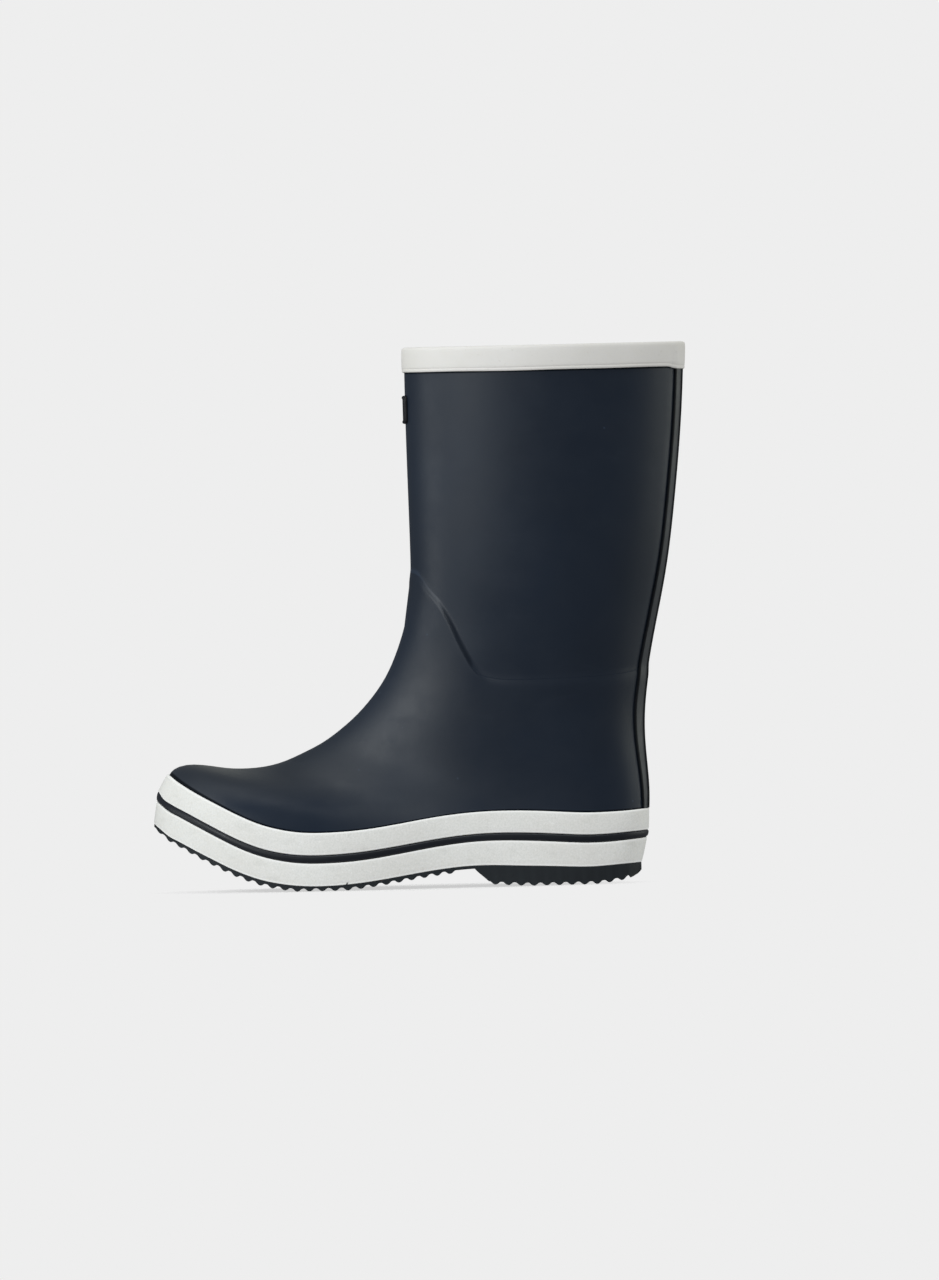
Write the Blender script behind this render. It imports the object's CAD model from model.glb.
"""A tall rubber boot with a white binding, a striped foxing, a ribbed sole and a loose insole.

It stands on z = 0 with its toe towards -Y, its heel towards +Y and its outer side towards +X.
Shapes are worked out in millimetres and made in metres; materials and the stage are in metres.
"""
import math

import bpy
import numpy as np
from mathutils import Matrix, Vector


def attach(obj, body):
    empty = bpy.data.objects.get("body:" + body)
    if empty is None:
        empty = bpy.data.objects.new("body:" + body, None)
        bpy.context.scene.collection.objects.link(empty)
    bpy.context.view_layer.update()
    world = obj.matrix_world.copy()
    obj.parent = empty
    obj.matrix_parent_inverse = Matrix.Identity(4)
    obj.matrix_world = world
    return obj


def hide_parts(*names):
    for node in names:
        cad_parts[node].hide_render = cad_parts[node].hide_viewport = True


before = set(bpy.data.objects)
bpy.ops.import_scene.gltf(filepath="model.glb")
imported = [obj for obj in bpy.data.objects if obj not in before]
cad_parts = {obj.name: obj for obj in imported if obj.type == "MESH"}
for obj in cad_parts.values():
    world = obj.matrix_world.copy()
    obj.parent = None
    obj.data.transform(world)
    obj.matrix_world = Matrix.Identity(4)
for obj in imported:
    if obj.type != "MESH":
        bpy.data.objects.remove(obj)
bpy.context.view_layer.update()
MM = 0.001

# ================================================================ main sizes (millimetres)
RIM_Z = 312.1               # top of the binding
BAND_Z = 297.9              # bottom of the binding
RIM_DIP = 1.25              # how far the rim drops at its sides
BADGE_TOP, BADGE_BOTTOM = 284.3, 268.0
STRIP_HALF = 16.5           # half width of the back strip
# heights above the last
FOOT_PROUD = 0.8
STRIP_PROUD = 1.25
BAND_PROUD = 1.4
FOXING_PROUD = 2.3
LINING = 0.8                # thickness of the linings
TOOTH = 1.65                # depth of the sole's ribs

# Sections of the last, from the rim to the toe:
# front y, front z, back y, back z, outer half width, inner half width,
# share of the depth at which the section is widest, squareness behind that, centre x
SECTIONS = np.array([
    [-82.6, 316.6, 77.9, 316.6, 47.0, 47.0, 0.5, 2.0, 0.0],
    [-82.6, 270.3, 75.4, 270.3, 46.8, 46.8, 0.5, 2.0, 0.0],
    [-82.0, 224.0, 70.7, 224.0, 46.0, 46.0, 0.5, 2.0, 0.0],
    [-81.6, 191.5, 65.8, 188.1, 44.8, 44.8, 0.5, 2.0, 0.0],
    [-82.0, 171.9, 60.3, 160.4, 43.2, 43.2, 0.51, 2.0, 0.0],
    [-84.0, 155.7, 55.8, 139.7, 41.2, 41.2, 0.52, 2.1, 0.0],
    [-88.5, 140.2, 52.0, 118.9, 39.4, 39.2, 0.53, 2.2, 0.0],
    [-94.7, 125.4, 49.6, 98.1, 37.8, 37.4, 0.55, 2.3, -0.1],
    [-102.7, 112.7, 49.6, 79.0, 36.6, 36.0, 0.58, 2.5, -0.2],
    [-112.7, 101.2, 50.9, 59.9, 35.6, 35.0, 0.61, 2.8, -0.3],
    [-122.3, 92.7, 50.9, 44.3, 35.0, 34.4, 0.64, 3.1, -0.4],
    [-133.6, 84.6, 48.5, 28.7, 35.6, 34.2, 0.67, 3.4, -0.6],
    [-145.4, 78.6, 39.2, 15.6, 38.0, 32.0, 0.69, 3.5, -0.9],
    [-157.2, 73.6, 18.2, 10.9, 41.2, 30.6, 0.7, 3.4, -1.5],
    [-169.0, 70.8, -13.6, 11.6, 44.4, 31.2, 0.7, 3.2, -2.3],
    [-180.1, 70.0, -51.2, 12.5, 47.8, 34.0, 0.7, 3.0, -3.2],
    [-190.0, 70.4, -88.9, 10.5, 51.2, 39.5, 0.7, 3.0, -4.0],
    [-199.2, 71.8, -123.7, 6.1, 52.2, 43.8, 0.7, 3.0, -4.8],
    [-207.3, 72.8, -152.7, 5.6, 49.8, 44.2, 0.7, 3.0, -5.4],
    [-213.6, 72.8, -178.7, 10.3, 44.1, 39.9, 0.68, 2.8, -5.9],
    [-219.0, 71.5, -200.4, 19.5, 37.2, 33.4, 0.64, 2.6, -6.3],
    [-222.9, 68.5, -216.4, 29.1, 29.5, 26.5, 0.6, 2.4, -6.5],
    [-225.2, 62.9, -223.2, 36.8, 20.0, 18.0, 0.55, 2.2, -6.6],
    [-226.8, 55.9, -226.7, 45.0, 9.0, 9.0, 0.5, 2.0, -6.6]])

# Heights of the wall's four lines at stations along y:
# top of the foxing, top of the stripe, bottom of the stripe, bottom of the foxing
LEVEL_Y = [
    -235, -232, -228.5, -225, -221, -215.5, -208, -199, -189, -180, -171, -161,
    -148, -133, -113, -91, -68, -45, -22, 1, 18, 32, 44, 54]
LEVEL_Z = [
    [71.8, 70.8, 69.6, 68.2, 65.3, 61.6, 57.1, 52.2, 46.9, 42.5, 38.8, 35.94,
     33.77, 33.35, 34.45, 37.45, 41.05, 43.15, 43.35, 42.15, 41.25, 41.45, 42.05, 42.95],
    [63.0, 60.4, 55.0, 52.1, 49.8, 46.9, 42.8, 37.9, 32.6, 28.4, 25.0, 22.44,
     20.67, 20.45, 21.75, 24.75, 28.25, 30.45, 30.55, 29.35, 28.45, 28.85, 29.65, 30.25],
    [56.3, 53.2, 50.4, 47.6, 45.4, 42.5, 38.4, 33.5, 28.2, 24.0, 20.7, 18.14,
     16.27, 15.95, 17.15, 20.35, 24.05, 26.35, 26.25, 24.95, 24.05, 24.45, 25.45, 26.25],
    [41.1, 38.7, 35.9, 33.0, 30.8, 27.9, 23.8, 19.1, 14.0, 10.1, 7.0, 4.74,
     3.07, 2.75, 4.15, 7.25, 10.65, 12.35, 11.65, 10.75, 10.15, 10.85, 11.55, 11.85]]

# Seam between shaft and foot panel: section number at angles from the front to the back
SEAM_ANGLE = [
    0, 0.3, 0.42, 0.606, 0.707, 0.779, 0.877, 0.952, 1.056,
    1.172, 1.228, 1.363, 1.568, 1.793, 2.017, 2.282, 2.745, 3.1416]
SEAM_SECTION = [
    3.45, 3.52, 3.63, 4.16, 4.41, 4.7, 5.14, 5.54, 6.04,
    6.6, 6.67, 6.68, 6.55, 6.4, 6.26, 6.1, 5.82, 5.72]

# How far each of the wall's lines stands out: all round, then added at the toe and at the heel
WALL_OUT = [(0, 0, 0), (0.7, 4.9, -1.2), (0.9, 5.6, -2.4), (1.5, 6.9, -6.4)]


# ================================================================ the last
def spline(stations, values):
    """Natural cubic spline through the stations, held at its end values beyond them."""
    stations, values = np.asarray(stations, float), np.asarray(values, float)
    count, gap = len(stations), np.diff(stations)
    slope = np.diff(values) / gap
    system, target = np.eye(count), np.zeros(count)
    for i in range(1, count - 1):
        system[i, i - 1:i + 2] = gap[i - 1], 2 * (gap[i - 1] + gap[i]), gap[i]
        target[i] = 6 * (slope[i] - slope[i - 1])
    bend = np.linalg.solve(system, target)

    def evaluate(x):
        x = np.clip(np.asarray(x, float), stations[0], stations[-1])
        i = np.clip(np.searchsorted(stations, x) - 1, 0, count - 2)
        past = x - stations[i]
        return (values[i] + past * (slope[i] - gap[i] * (2 * bend[i] + bend[i + 1]) / 6)
                + bend[i] / 2 * past ** 2 + (bend[i + 1] - bend[i]) / (6 * gap[i]) * past ** 3)
    return evaluate


SECTION = [spline(range(len(SECTIONS)), column) for column in SECTIONS.T]
LEVEL = [spline(LEVEL_Y, heights) for heights in LEVEL_Z]


def seam(angle):
    """Section number of the seam, averaged over nearby angles to soften its corners."""
    angle = np.asarray(angle, float)
    near = [np.clip(angle + k * 0.02, 0, math.pi) for k in range(-2, 3)]
    return sum(np.interp(value, SEAM_ANGLE, SEAM_SECTION) for value in near) / 5


def smooth(start, end, x):
    """Eased step from 0 at start to 1 at end."""
    share = np.clip((np.asarray(x, float) - start) / (end - start), 0, 1)
    return share * share * (3 - 2 * share)


def unit(vectors):
    return vectors / np.linalg.norm(vectors, axis=-1, keepdims=True)


def blur(values):
    """Average each column with its two neighbours, all round."""
    return (np.roll(values, 1, 0) + 2 * values + np.roll(values, -1, 0)) / 4


def run_length(points):
    """Length run along the first axis up to each point."""
    steps = np.linalg.norm(np.diff(points, axis=0), axis=-1)
    return np.concatenate([np.zeros_like(steps[:1]), np.cumsum(steps, axis=0)])


def last_point(section, angle, side):
    """Point at an angle from the front line (0) to the back line (pi); side +1 outer, -1 inner."""
    section, angle = np.asarray(section, float), np.asarray(angle, float)
    (front_y, front_z, back_y, back_z, outer_half, inner_half,
     crown, square, centre_x) = [column(section) for column in SECTION]
    across, behind = np.maximum(np.sin(angle), 1e-12), np.maximum(-np.cos(angle), 0)
    radius = (across ** square + behind ** square) ** (-1 / square)
    rear = angle > math.pi / 2
    width = np.where(rear, radius * across, np.sin(angle))
    width = np.where(angle > math.pi - 1e-9, 0, width)
    depth = np.where(rear, crown + (1 - crown) * radius * behind, crown * (1 - np.cos(angle)))
    return np.stack([centre_x + (outer_half if side > 0 else -inner_half) * width,
                     front_y + depth * (back_y - front_y),
                     front_z + depth * (back_z - front_z)], -1)


def path(section, angle):
    """A path of (section, angle) pairs; either may be a single number."""
    return np.stack(np.broadcast_arrays(section, angle), -1)


def net_points(net, side):
    return last_point(net[..., 0], net[..., 1], side)


def respace(pairs, side, shares):
    """Pairs (section, angle) respaced at shares of their path's length on the last."""
    run = run_length(net_points(pairs, side))
    wanted = shares * run[-1]
    return np.stack([np.interp(wanted, run, pairs[:, k]) for k in (0, 1)], -1)


def foxing_path(side):
    """Path of the foxing's top line on the last, from the toe to the heel."""
    steps = 260

    def over(section, angle):
        x, y, z = np.moveaxis(last_point(section, angle, side), -1, 0)
        # the line is read further forward at the toe, by as much as the foxing stands out
        return z - LEVEL[0](y - FOXING_PROUD * np.clip(1 - (y + 223) / 45, 0, 1))

    def root(height, low, high):
        for _ in range(40):
            middle = (low + high) / 2
            if height(middle) > 0:
                low = middle
            else:
                high = middle
        return (low + high) / 2

    toe = root(lambda section: over(section, 0.0), 18, 23)
    heel = root(lambda section: over(section, math.pi), 8, 12)
    scan = np.arange(0, math.pi + 0.02, 0.01)
    pairs = [[toe, 0.0]]
    for k in range(1, steps):
        section = toe + (heel - toe) * (1 - math.cos(math.pi * k / steps)) / 2
        i = int(np.argmax(over(section, np.minimum(scan, math.pi)) <= 0))
        angle = root(lambda value: over(section, value),
                     scan[max(i - 1, 0)], min(scan[i], math.pi))
        pairs.append([section, angle])
    return np.array(pairs + [[heel, math.pi]])


def relax(net, side, passes):
    """Even out a net of (section, angle) by drawing inner points towards their neighbours."""
    nudge, pace = 0.001, 0.9
    max_section, max_angle = 0.5, 0.2       # longest move in one pass

    def dot(first, second):
        return (first * second).sum(-1)

    for _ in range(passes):
        section, angle = net[1:-1, 1:-1, 0], net[1:-1, 1:-1, 1]
        points = net_points(net, side)
        here = points[1:-1, 1:-1]
        pull = (points[:-2, 1:-1] + points[2:, 1:-1]
                + points[1:-1, :-2] + points[1:-1, 2:]) / 4 - here
        down = (last_point(section + nudge, angle, side) - here) / nudge
        around = (last_point(section, angle + nudge, side) - here) / nudge
        down_size, around_size = dot(down, down) + 1e-6, dot(around, around) + 1e-6
        skew, pull_down, pull_around = dot(down, around), dot(pull, down), dot(pull, around)
        area_size = down_size * around_size - skew * skew
        move_section = (pull_down * around_size - pull_around * skew) / area_size
        move_angle = (pull_around * down_size - pull_down * skew) / area_size
        cap = np.maximum(1, np.maximum(np.abs(move_section) / max_section,
                                       np.abs(move_angle) / max_angle))
        net[1:-1, 1:-1, 0] = section + pace * move_section / cap
        net[1:-1, 1:-1, 1] = np.clip(angle + pace * move_angle / cap, 0, math.pi)
    return net


def foot_net(side):
    """Even net of (section, angle) from the seam to the foxing's top, solved coarse to fine."""
    angles = np.linspace(0, math.pi, 721)
    seam_path, fox_path = path(seam(angles), angles), foxing_path(side)
    net = None
    for rows, columns, passes in ((16, 36, 170), (32, 72, 80), (64, 144, 40)):
        down, across = np.linspace(0, 1, rows + 1), np.linspace(0, 1, columns + 1)
        top = respace(seam_path, side, across)
        low = respace(fox_path, side, across)
        if net is None:
            new = top + down[:, None, None] * (low - top)
        else:
            new = np.zeros((rows + 1, columns + 1, 2))
            new[::2, ::2] = net
            new[1::2, ::2] = (net[1:] + net[:-1]) / 2
            new[:, 1::2] = (new[:, :-2:2] + new[:, 2::2]) / 2
        new[0], new[-1] = top, low
        for column, angle in ((0, 0.0), (-1, math.pi)):
            edge = np.linspace(top[column, 0], low[column, 0], 121)
            new[:, column] = respace(path(edge, angle), side, down)
        net = relax(new, side, passes)
    return net


# ================================================================ the boot's grid of points
HALF = 96                   # columns from the front line to the back line
ROUND = 2 * HALF


def section_at(z):
    """Section number at a height near the rim."""
    return (SECTIONS[0, 1] - z) / (SECTIONS[0, 1] - SECTIONS[1, 1])


# Rows down the boot: at heights, at shares of the way to the seam, at distances from the seam,
# then at shares of the way from the seam to the foxing's top line
SHAFT_SECTIONS = [section_at(z) for z in (
    RIM_Z - 3.4, 305, 301.5, BAND_Z, 293, 288.5, BADGE_TOP, 279, 273.5, BADGE_BOTTOM)]
SHAFT_SHARES = np.linspace(0.05, 0.95, 26)
SEAM_MM = [-3.5, -2.4, -1.2, -0.5, -0.07]
FOOT_MM = [0.0, 0.2, 0.5, 0.9, 1.3, 1.8, 2.4, 3.2, 5.0, 8.0]
FOOT_SHARES = list(np.linspace(0.15, 0.95, 38)) + [0.97, 0.985, 0.995, 1.0]
BAND_ROW = 3                # the row at BAND_Z
SEAM_ROW = len(SHAFT_SECTIONS) + len(SHAFT_SHARES) + len(SEAM_MM)
FOX_ROW = SEAM_ROW + len(FOOT_MM) + len(FOOT_SHARES) - 1


def side_rows(side):
    """Rows of points all down one side."""
    angles = np.linspace(0, math.pi, 481)
    even = np.linspace(0, 1, HALF + 1)
    rows = [respace(path(section, angles), side, even) for section in SHAFT_SECTIONS]
    start = SHAFT_SECTIONS[-1]
    rows += [respace(path(start + share * (seam(angles) - start), angles), side, even)
             for share in SHAFT_SHARES]
    seam_row = respace(path(seam(angles), angles), side, even)
    above = rows[-1]
    gap = np.linalg.norm(net_points(above, side) - net_points(seam_row, side), axis=1)
    rows += [above + np.clip(1 + mm / gap, 0.2, 1)[:, None] * (seam_row - above)
             for mm in SEAM_MM]
    # columns respaced by length in each net row, then rows respaced by length down each column
    net = foot_net(side)
    fine = np.stack([respace(row, side, even ** (1 + 0.15 * r / (len(net) - 1)))
                     for r, row in enumerate(net)])
    fine[0] = seam_row
    run = run_length(net_points(fine, side))
    total = run[-1]
    depths = [mm * np.minimum(1.0, total / 60) for mm in FOOT_MM]
    depths += [share * total for share in FOOT_SHARES]
    for depth in depths:
        rows.append(np.array([[np.interp(depth[c], run[:, c], fine[:, c, k]) for k in (0, 1)]
                              for c in range(HALF + 1)]))
    return net_points(np.array(rows), side)


# column 0 is the front line, HALF the back line; outer side first, then forward on the inner
outer, inner = side_rows(1), side_rows(-1)
GRID = np.concatenate([outer, inner[:, HALF - 1:0:-1]], axis=1)
COLUMNS = np.arange(ROUND)
COLUMN_SHARE = np.minimum(COLUMNS, ROUND - COLUMNS) / HALF      # 0 at the front, 1 at the back

# OUTWARD: level direction out of the boot at each column of the foxing's top line
fox = GRID[FOX_ROW]
tangent = np.roll(fox, -1, 0) - np.roll(fox, 1, 0)
OUTWARD = unit(np.stack([-tangent[:, 1], tangent[:, 0]], -1))
OUTWARD[OUTWARD[:, 0] * np.where(COLUMNS < HALF, 1, -1) < 0] *= -1
OUTWARD[0], OUTWARD[HALF] = (0, -1), (0, 1)
for _ in range(2):
    OUTWARD = unit(blur(OUTWARD))
# how much each column takes of what is added at the toe and at the heel
AT_TOE, AT_HEEL = (np.maximum(0, sign * OUTWARD[:, 1]) ** 2.2 for sign in (-1, 1))


def base_z(y):
    """Height of the surface under the insole, raised towards the heel by a wedge."""
    return LEVEL[3](y) + 6.0 + 3.5 * smooth(-85, -25, y)


# Rows behind the foxing: share of the way down to the base, move outward all round,
# move added at the heel, height above the base at the full way down
HIDDEN = [
    (0.08, 0, 0, 0.6), (0.3, 0, 0, 0.6), (0.62, -0.2, 0, 0.6), (0.75, -0.5, -0.5, 0.6),
    (0.86, -0.9, -0.9, 0.6), (0.95, -1.7, -0.5, 0.6), (1, -2.8, 0, 0.5)]
TURNED_IN = [-4.2, -6.0, -14.0]     # outward moves of the rows turned in under the foot
extra = []
for down, all_round, heel, above in HIDDEN:
    plan = fox[:, :2] + OUTWARD * (all_round + heel * AT_HEEL)[:, None]
    low = base_z(plan[:, 1]) + above
    extra.append(np.column_stack([plan, fox[:, 2] + down * (low - fox[:, 2])]))
for shift in TURNED_IN:
    plan = fox[:, :2] + OUTWARD * shift
    extra.append(np.column_stack([plan, base_z(plan[:, 1])]))
GRID = np.concatenate([GRID, np.array(extra)])
LAST_ROW = len(GRID) - 1
FEATHER_ROW = FOX_ROW + len(HIDDEN)

above, below = np.concatenate([GRID[:1], GRID[:-1]]), np.concatenate([GRID[1:], GRID[-1:]])
NORMAL = np.cross(np.roll(GRID, -1, 1) - np.roll(GRID, 1, 1), above - below)
NORMAL = unit(NORMAL)
NORMAL[:, [0, HALF], 0] = 0
NORMAL = unit(NORMAL)
# rows packed close together take a normal that is smoothed down the boot
for _ in range(3):
    middle = unit(NORMAL[:-2] + 2 * NORMAL[1:-1] + NORMAL[2:])
    NORMAL[1:FOX_ROW - 1] = middle[:FOX_ROW - 2]

# lengths along the rows from the front line and from the back line (outer side positive),
# and down the columns from the top and from the seam
step = np.linalg.norm(np.roll(GRID, -1, 1) - GRID, axis=2)
FRONT_ARC = np.concatenate([np.zeros((len(GRID), 1)), np.cumsum(step[:, :-1], axis=1)], axis=1)
TOTAL_ARC = FRONT_ARC[:, -1:] + step[:, -1:]
BACK_ARC = FRONT_ARC[:, HALF:HALF + 1] - FRONT_ARC
DOWN_ARC = run_length(GRID)
BELOW_SEAM = DOWN_ARC - DOWN_ARC[SEAM_ROW]
DIP = RIM_DIP * np.abs(GRID[0, :, 0] / SECTIONS[0, 4]) ** 1.25


def off_last(row, distance):
    """A whole row of points at a distance (one number, or one per column) from the last."""
    return GRID[row] + NORMAL[row] * np.broadcast_to(distance, (ROUND,))[:, None]


def spot(row, column, distance):
    """One point at a distance from the last, at a column number that may be fractional."""
    left = math.floor(column)
    share = column - left
    point, normal = (net[row, left % ROUND] * (1 - share) + net[row, (left + 1) % ROUND] * share
                     for net in (GRID, NORMAL))
    return point + unit(normal) * distance


# the foot panel's edge is a soft moulded step: tall where the seam is steep, slight elsewhere
along = np.roll(GRID[SEAM_ROW], -1, axis=0) - np.roll(GRID[SEAM_ROW], 1, axis=0)
pitch = np.abs(along[:, 2]) / np.linalg.norm(along, axis=1)
STEEP, CREASE = smooth(0.35, 0.75, pitch), smooth(0.70, 0.86, pitch)
for _ in range(3):
    STEEP, CREASE = blur(STEEP), blur(CREASE)


def step_up(row):
    """Height of the moulded step on this row, one value per column."""
    below = BELOW_SEAM[row]
    tall = (FOOT_PROUD + 0.65 * (1 - smooth(2.5, 17, below))) * smooth(-3.5, 2.4, below)
    return STEEP * tall + (1 - STEEP) * FOOT_PROUD * smooth(-3.5, 6.0, below)


# ================================================================ meshes
def make(node, verts, faces, material, slot, uv=None, sharp=40, body="boot"):
    """Object <node>_fine that replaces the CAD piece; its faces are turned outward."""
    corners = [verts[faces[:, i]] for i in range(4)]
    volume = sum(np.einsum("ij,ij->i", corners[0], np.cross(corners[i], corners[i + 1]))
                 for i in (1, 2)).sum()
    if volume < 0:
        faces = faces[:, ::-1]
    name = node + "_fine"
    mesh = bpy.data.meshes.new(name)
    mesh.from_pydata((verts * MM).tolist(), [], faces.tolist())
    if uv is not None:
        layer = mesh.uv_layers.new(name="mm")
        index = np.zeros(len(mesh.loops), np.int32)
        mesh.loops.foreach_get("vertex_index", index)
        layer.data.foreach_set("uv", (uv[index] * MM).astype(np.float32).ravel())
    piece = bpy.data.objects.new(name, mesh)
    bpy.context.scene.collection.objects.link(piece)
    mesh.shade_smooth()
    mesh.set_sharp_from_angle(angle=math.radians(sharp))
    mesh.materials.append(material)
    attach(piece, body)
    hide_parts(node)


def ring(node, profile, uv=None, **kw):
    """Rows of points all round the boot, closed both ways."""
    verts = np.array(profile)
    index = np.arange(verts.shape[0] * verts.shape[1]).reshape(verts.shape[:2])
    below = np.roll(index, -1, 0)
    faces = np.stack([index, np.roll(index, -1, 1), np.roll(below, -1, 1), below], -1)
    if uv is not None:
        uv = np.array(uv).reshape(-1, 2)
    make(node, verts.reshape(-1, 3), faces.reshape(-1, 4), uv=uv, **kw)


def patch(node, outside, inside, uv=None, **kw):
    """Two nets of the same size facing one another, closed round their edges."""
    outside, inside = np.array(outside), np.array(inside)
    rows, columns = outside.shape[:2]
    base = rows * columns
    index = np.arange(base).reshape(rows, columns)
    quads = np.stack([index[:-1, :-1], index[1:, :-1], index[1:, 1:], index[:-1, 1:]], -1)
    quads = quads.reshape(-1, 4)
    faces = [quads, quads[:, ::-1] + base]
    for start, end in ((index[:-1, 0], index[1:, 0]), (index[1:, -1], index[:-1, -1]),
                       (index[0, 1:], index[0, :-1]), (index[-1, :-1], index[-1, 1:])):
        faces.append(np.stack([start, base + start, base + end, end], -1))
    verts = np.concatenate([outside.reshape(-1, 3), inside.reshape(-1, 3)])
    if uv is not None:
        uv = np.concatenate([np.array(uv).reshape(-1, 2)] * 2)
    make(node, verts, np.concatenate(faces), uv=uv, **kw)


# ================================================================ materials
def srgb(*rgb):
    """Linear colour from 0-255 sRGB values."""
    shares = [value / 255 for value in rgb]
    return tuple(share / 12.92 if share <= 0.04045 else ((share + 0.055) / 1.055) ** 2.4
                 for share in shares) + (1.0,)


class Look:
    """A material whose shader nodes are added by short calls."""

    def __init__(self, name):
        self.material = bpy.data.materials.new(name)
        self.material.use_nodes = True
        self.tree = self.material.node_tree
        self.surface = self.tree.nodes["Principled BSDF"]
        self.coords = self.tree.nodes.new("ShaderNodeTexCoord").outputs

    def put(self, node, key, value):
        """Link or set an input, given by number or by name with _ for spaces."""
        socket = node.inputs[key if isinstance(key, int) else key.replace("_", " ")]
        if isinstance(value, bpy.types.NodeSocket):
            self.tree.links.new(value, socket)
        else:
            socket.default_value = value

    def new(self, kind, **inputs):
        node = self.tree.nodes.new(kind)
        for key, value in inputs.items():
            self.put(node, key, value)
        return node

    def split(self, vector):
        return self.new("ShaderNodeSeparateXYZ", Vector=vector).outputs

    def noise(self, scale, detail, rough=0.5, stretch=None):
        vector = self.coords["Object"]
        if stretch:
            vector = self.new("ShaderNodeMapping", Vector=vector, Scale=stretch).outputs["Vector"]
        return self.new("ShaderNodeTexNoise", Vector=vector, Scale=scale, Detail=detail,
                        Roughness=rough).outputs["Fac"]

    def ramp(self, value, over, to=(0.0, 1.0)):
        """The value's range `over` mapped to the range `to`, held beyond its ends."""
        return self.new("ShaderNodeMapRange", Value=value, From_Min=over[0], From_Max=over[1],
                        To_Min=to[0], To_Max=to[1]).outputs["Result"]

    def fall(self, value, over):
        return self.ramp(value, over, to=(1.0, 0.0))

    def math(self, operation, first, second=0.0):
        node = self.tree.nodes.new("ShaderNodeMath")
        node.operation = operation
        self.put(node, 0, first)
        self.put(node, 1, second)
        return node.outputs[0]

    def plus(self, first, second):
        return self.math("ADD", first, second)

    def times(self, product, *others):
        for other in others:
            product = self.math("MULTIPLY", product, other)
        return product

    def mix(self, share, first, second):
        """Colour mix; inputs 0, 6 and 7 are the node's factor and its two colours."""
        node = self.tree.nodes.new("ShaderNodeMix")
        node.data_type = "RGBA"
        for key, value in ((0, share), (6, first), (7, second)):
            self.put(node, key, value)
        return node.outputs[2]

    def bump(self, height, strength, distance, normal=None):
        node = self.new("ShaderNodeBump", Height=height, Strength=strength, Distance=distance)
        if normal is not None:
            self.put(node, "Normal", normal)
        return node.outputs["Normal"]

    def geometry(self, output):
        return self.tree.nodes.new("ShaderNodeNewGeometry").outputs[output]

    def finish(self, **inputs):
        for key, value in inputs.items():
            self.put(self.surface, key, value)
        return self.material


def add_specks(mat, colour, speck_colour, strength):
    """A few grains of dust and tiny moulding pits: small dots in one voronoi cell in 25 or so."""
    cells = mat.new("ShaderNodeTexVoronoi", Vector=mat.coords["Object"], Scale=120.0).outputs
    pick = mat.split(cells["Color"])[0]
    here = mat.times(mat.fall(cells["Distance"], over=(0.05, 0.09)),
                     mat.ramp(pick, over=(0.955, 0.965)))
    return mat.mix(mat.times(here, strength), colour, speck_colour)


def foot_wear(mat, colour, roughness, shine):
    """Colour, roughness and shine varied over the foot of the boot."""
    x, y, z = mat.split(mat.coords["Object"])
    # less shine low on the side of the foot
    low = mat.times(mat.fall(z, over=(0.049, 0.060)), mat.ramp(y, over=(-0.208, -0.190)),
                    mat.fall(y, over=(-0.140, -0.075)))
    level = mat.ramp(low, over=(0, 1), to=(shine, shine * 0.35))
    vamp = mat.times(mat.fall(y, over=(-0.072, -0.045)), mat.fall(z, over=(0.118, 0.145)))
    level = mat.times(level, mat.ramp(vamp, over=(0, 1), to=(1.0, 1.35)))
    # the stiffened toe is pulled tight and shines more
    toe = mat.times(mat.fall(y, over=(-0.155, -0.095)), mat.ramp(z, over=(0.051, 0.066)))
    level = mat.times(level, mat.ramp(toe, over=(0, 1), to=(1.0, 1.3)))
    colour = mat.mix(mat.times(toe, 0.5), colour, srgb(20, 28, 37))
    # the front of the foot is slightly matter
    roughness = mat.plus(roughness, mat.ramp(y, over=(-0.100, -0.060), to=(0.10, 0.0)))
    return colour, roughness, level


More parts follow.
